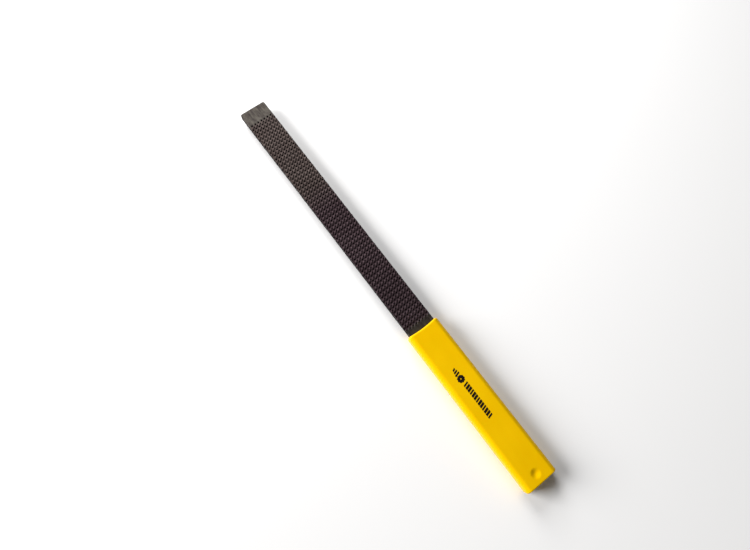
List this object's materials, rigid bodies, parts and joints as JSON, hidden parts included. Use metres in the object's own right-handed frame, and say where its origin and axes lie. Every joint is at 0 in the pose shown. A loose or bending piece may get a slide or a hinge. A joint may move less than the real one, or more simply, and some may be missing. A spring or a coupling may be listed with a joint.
{
  "type": "wood rasp",
  "caption": "Flat two-sided hand rasp for wood: parallel steel blade with a coarse tooth side and a fine file side, hidden tang, slip-on vinyl handle.",
  "frame": {"origin": "centre of the whole tool's box in plan, on the plane of the handle's underside", "axes": "+X along the blade towards its tip, +Y across the blade, +Z out of the coarse rasp side"},
  "size_m": [0.3174, 0.0236, 0.011],
  "materials": {
    "blade_steel": "hardened tool steel with a dark, slightly brown oxide finish and raised teeth",
    "handle_vinyl": "soft yellow vinyl with a satin sheen and a small dark print on one face"
  },
  "bodies": {
    "root": {"rasp_blade": "blade_steel", "vinyl_handle": "handle_vinyl"}
  },
  "joints": []
}
